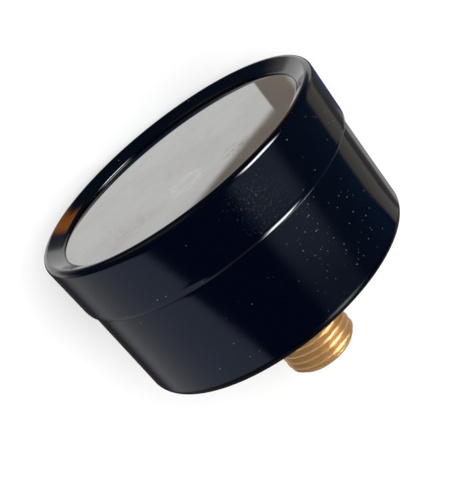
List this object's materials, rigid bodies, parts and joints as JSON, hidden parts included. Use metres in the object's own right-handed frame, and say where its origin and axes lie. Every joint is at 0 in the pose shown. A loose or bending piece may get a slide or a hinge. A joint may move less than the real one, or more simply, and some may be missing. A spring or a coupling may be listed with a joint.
{
  "type": "pressure gauge",
  "caption": "Round dial pressure gauge with a black case and bezel, flat window, geared Bourdon-tube movement and a brass threaded stem at the back.",
  "frame": {"origin": "on the gauge's axis, halfway between the bezel's crest and the stem's end, the centre of the bounding box", "axes": "+Y along the gauge's axis from the dial towards the stem's end, +Z towards 12 o'clock on the dial, +X towards 3 o'clock as the dial is read"},
  "size_m": [0.053, 0.0432, 0.053],
  "materials": {
    "black_enamel": "gloss",
    "window_glass": "clear polished",
    "black_rubber": "matt",
    "dial_enamel": "satin",
    "pointer_lacquer": "satin",
    "stem_brass": "turned satin",
    "movement_brass": "stamped satin",
    "tube_bronze": "drawn satin",
    "spring_bronze": "bright",
    "screw_steel": "zinc plated"
  },
  "bodies": {
    "housing": {"bezel": "black_enamel", "case": "black_enamel", "window": "window_glass", "window_gasket": "black_rubber", "dial_plate": "dial_enamel", "dial_screw_1": "screw_steel", "dial_screw_2": "screw_steel", "stop_pin": "screw_steel", "front_plate": "movement_brass", "back_plate": "movement_brass", "pillar_1": "movement_brass", "pillar_2": "movement_brass", "pillar_3": "movement_brass", "plate_screw_1": "screw_steel", "plate_screw_2": "screw_steel", "plate_screw_3": "screw_steel", "movement_screw_1": "screw_steel", "movement_screw_2": "screw_steel", "hairspring": "spring_bronze", "hairspring_stud": "movement_brass", "bourdon_tube": "tube_bronze", "socket": "stem_brass", "case_screw_1": "screw_steel", "case_screw_2": "screw_steel"},
    "pointer_assembly": {"pointer": "pointer_lacquer", "pointer_hub": "movement_brass", "pinion_arbor": "screw_steel", "hairspring_collet": "movement_brass"},
    "sector": {"sector_gear": "movement_brass", "sector_arbor": "screw_steel", "link_pin_sector": "screw_steel"},
    "tube_end": {"tube_tip": "movement_brass", "link_pin_tip": "screw_steel"},
    "link": {"link": "movement_brass"}
  },
  "joints": [
    {"name": "pointer_spin", "type": "hinge", "parent": "housing", "child": "pointer_assembly", "pos_m": [0, -0.0094, 0], "axis": [0, 1, 0], "range_deg": [0, 270], "deforming": ["hairspring"]},
    {"name": "sector_swing", "type": "hinge", "parent": "housing", "child": "sector", "pos_m": [0.00723, -0.0093, -0.00862], "axis": [0, 1, 0], "range_deg": [-33.75, 0]},
    {"name": "tube_tip_swing", "type": "hinge", "parent": "housing", "child": "tube_end", "pos_m": [-0.00538, -0.0021, 0.00336], "axis": [0, 1, 0], "range_deg": [-7.5, 0], "deforming": ["bourdon_tube"]},
    {"name": "link_swing", "type": "hinge", "parent": "tube_end", "child": "link", "pos_m": [0.01624, -0.0104, 0.00345], "axis": [0, 1, 0], "range_deg": [0, 5.6]}
  ],
  "couplings": [
    {"joint": "sector_swing", "follows": "pointer_spin", "ratio": -0.125},
    {"joint": "tube_tip_swing", "follows": "pointer_spin", "ratio": -0.027778},
    {"joint": "link_swing", "follows": "pointer_spin", "ratio": 0.020622}
  ]
}
